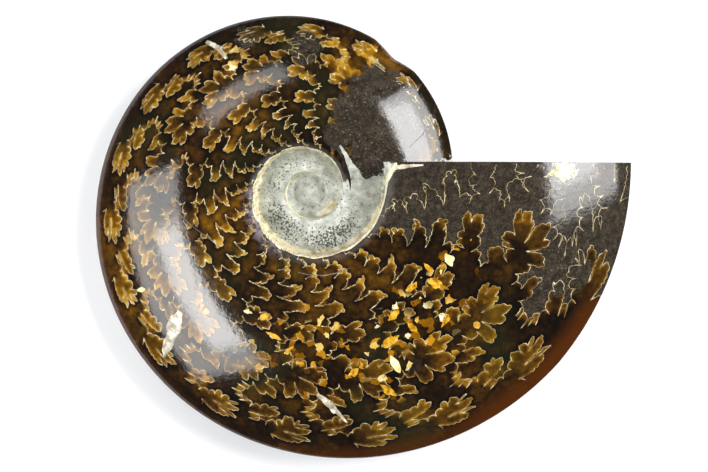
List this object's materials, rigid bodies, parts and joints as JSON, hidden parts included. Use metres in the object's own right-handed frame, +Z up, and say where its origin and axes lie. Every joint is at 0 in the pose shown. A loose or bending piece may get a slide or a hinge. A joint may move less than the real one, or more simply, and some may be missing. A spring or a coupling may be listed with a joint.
{
  "type": "polished cleoniceras ammonite fossil",
  "caption": "Polished flat-coiled ammonite fossil that lies on one flank, with a sawn mouth, a keeled rim and a stepped navel.",
  "frame": {"origin": "under the middle of the fossil, on the surface that it lies on", "axes": "+Z up as it lies, +X across the coil towards the keel at the mouth, +Y out of the sawn mouth"},
  "size_m": [0.12, 0.0994, 0.0309],
  "materials": {
    "polished_stone": "amber calcite and dark matrix, ground and polished to a gloss"
  },
  "bodies": {
    "root": {"ammonite": "polished_stone"}
  },
  "joints": []
}
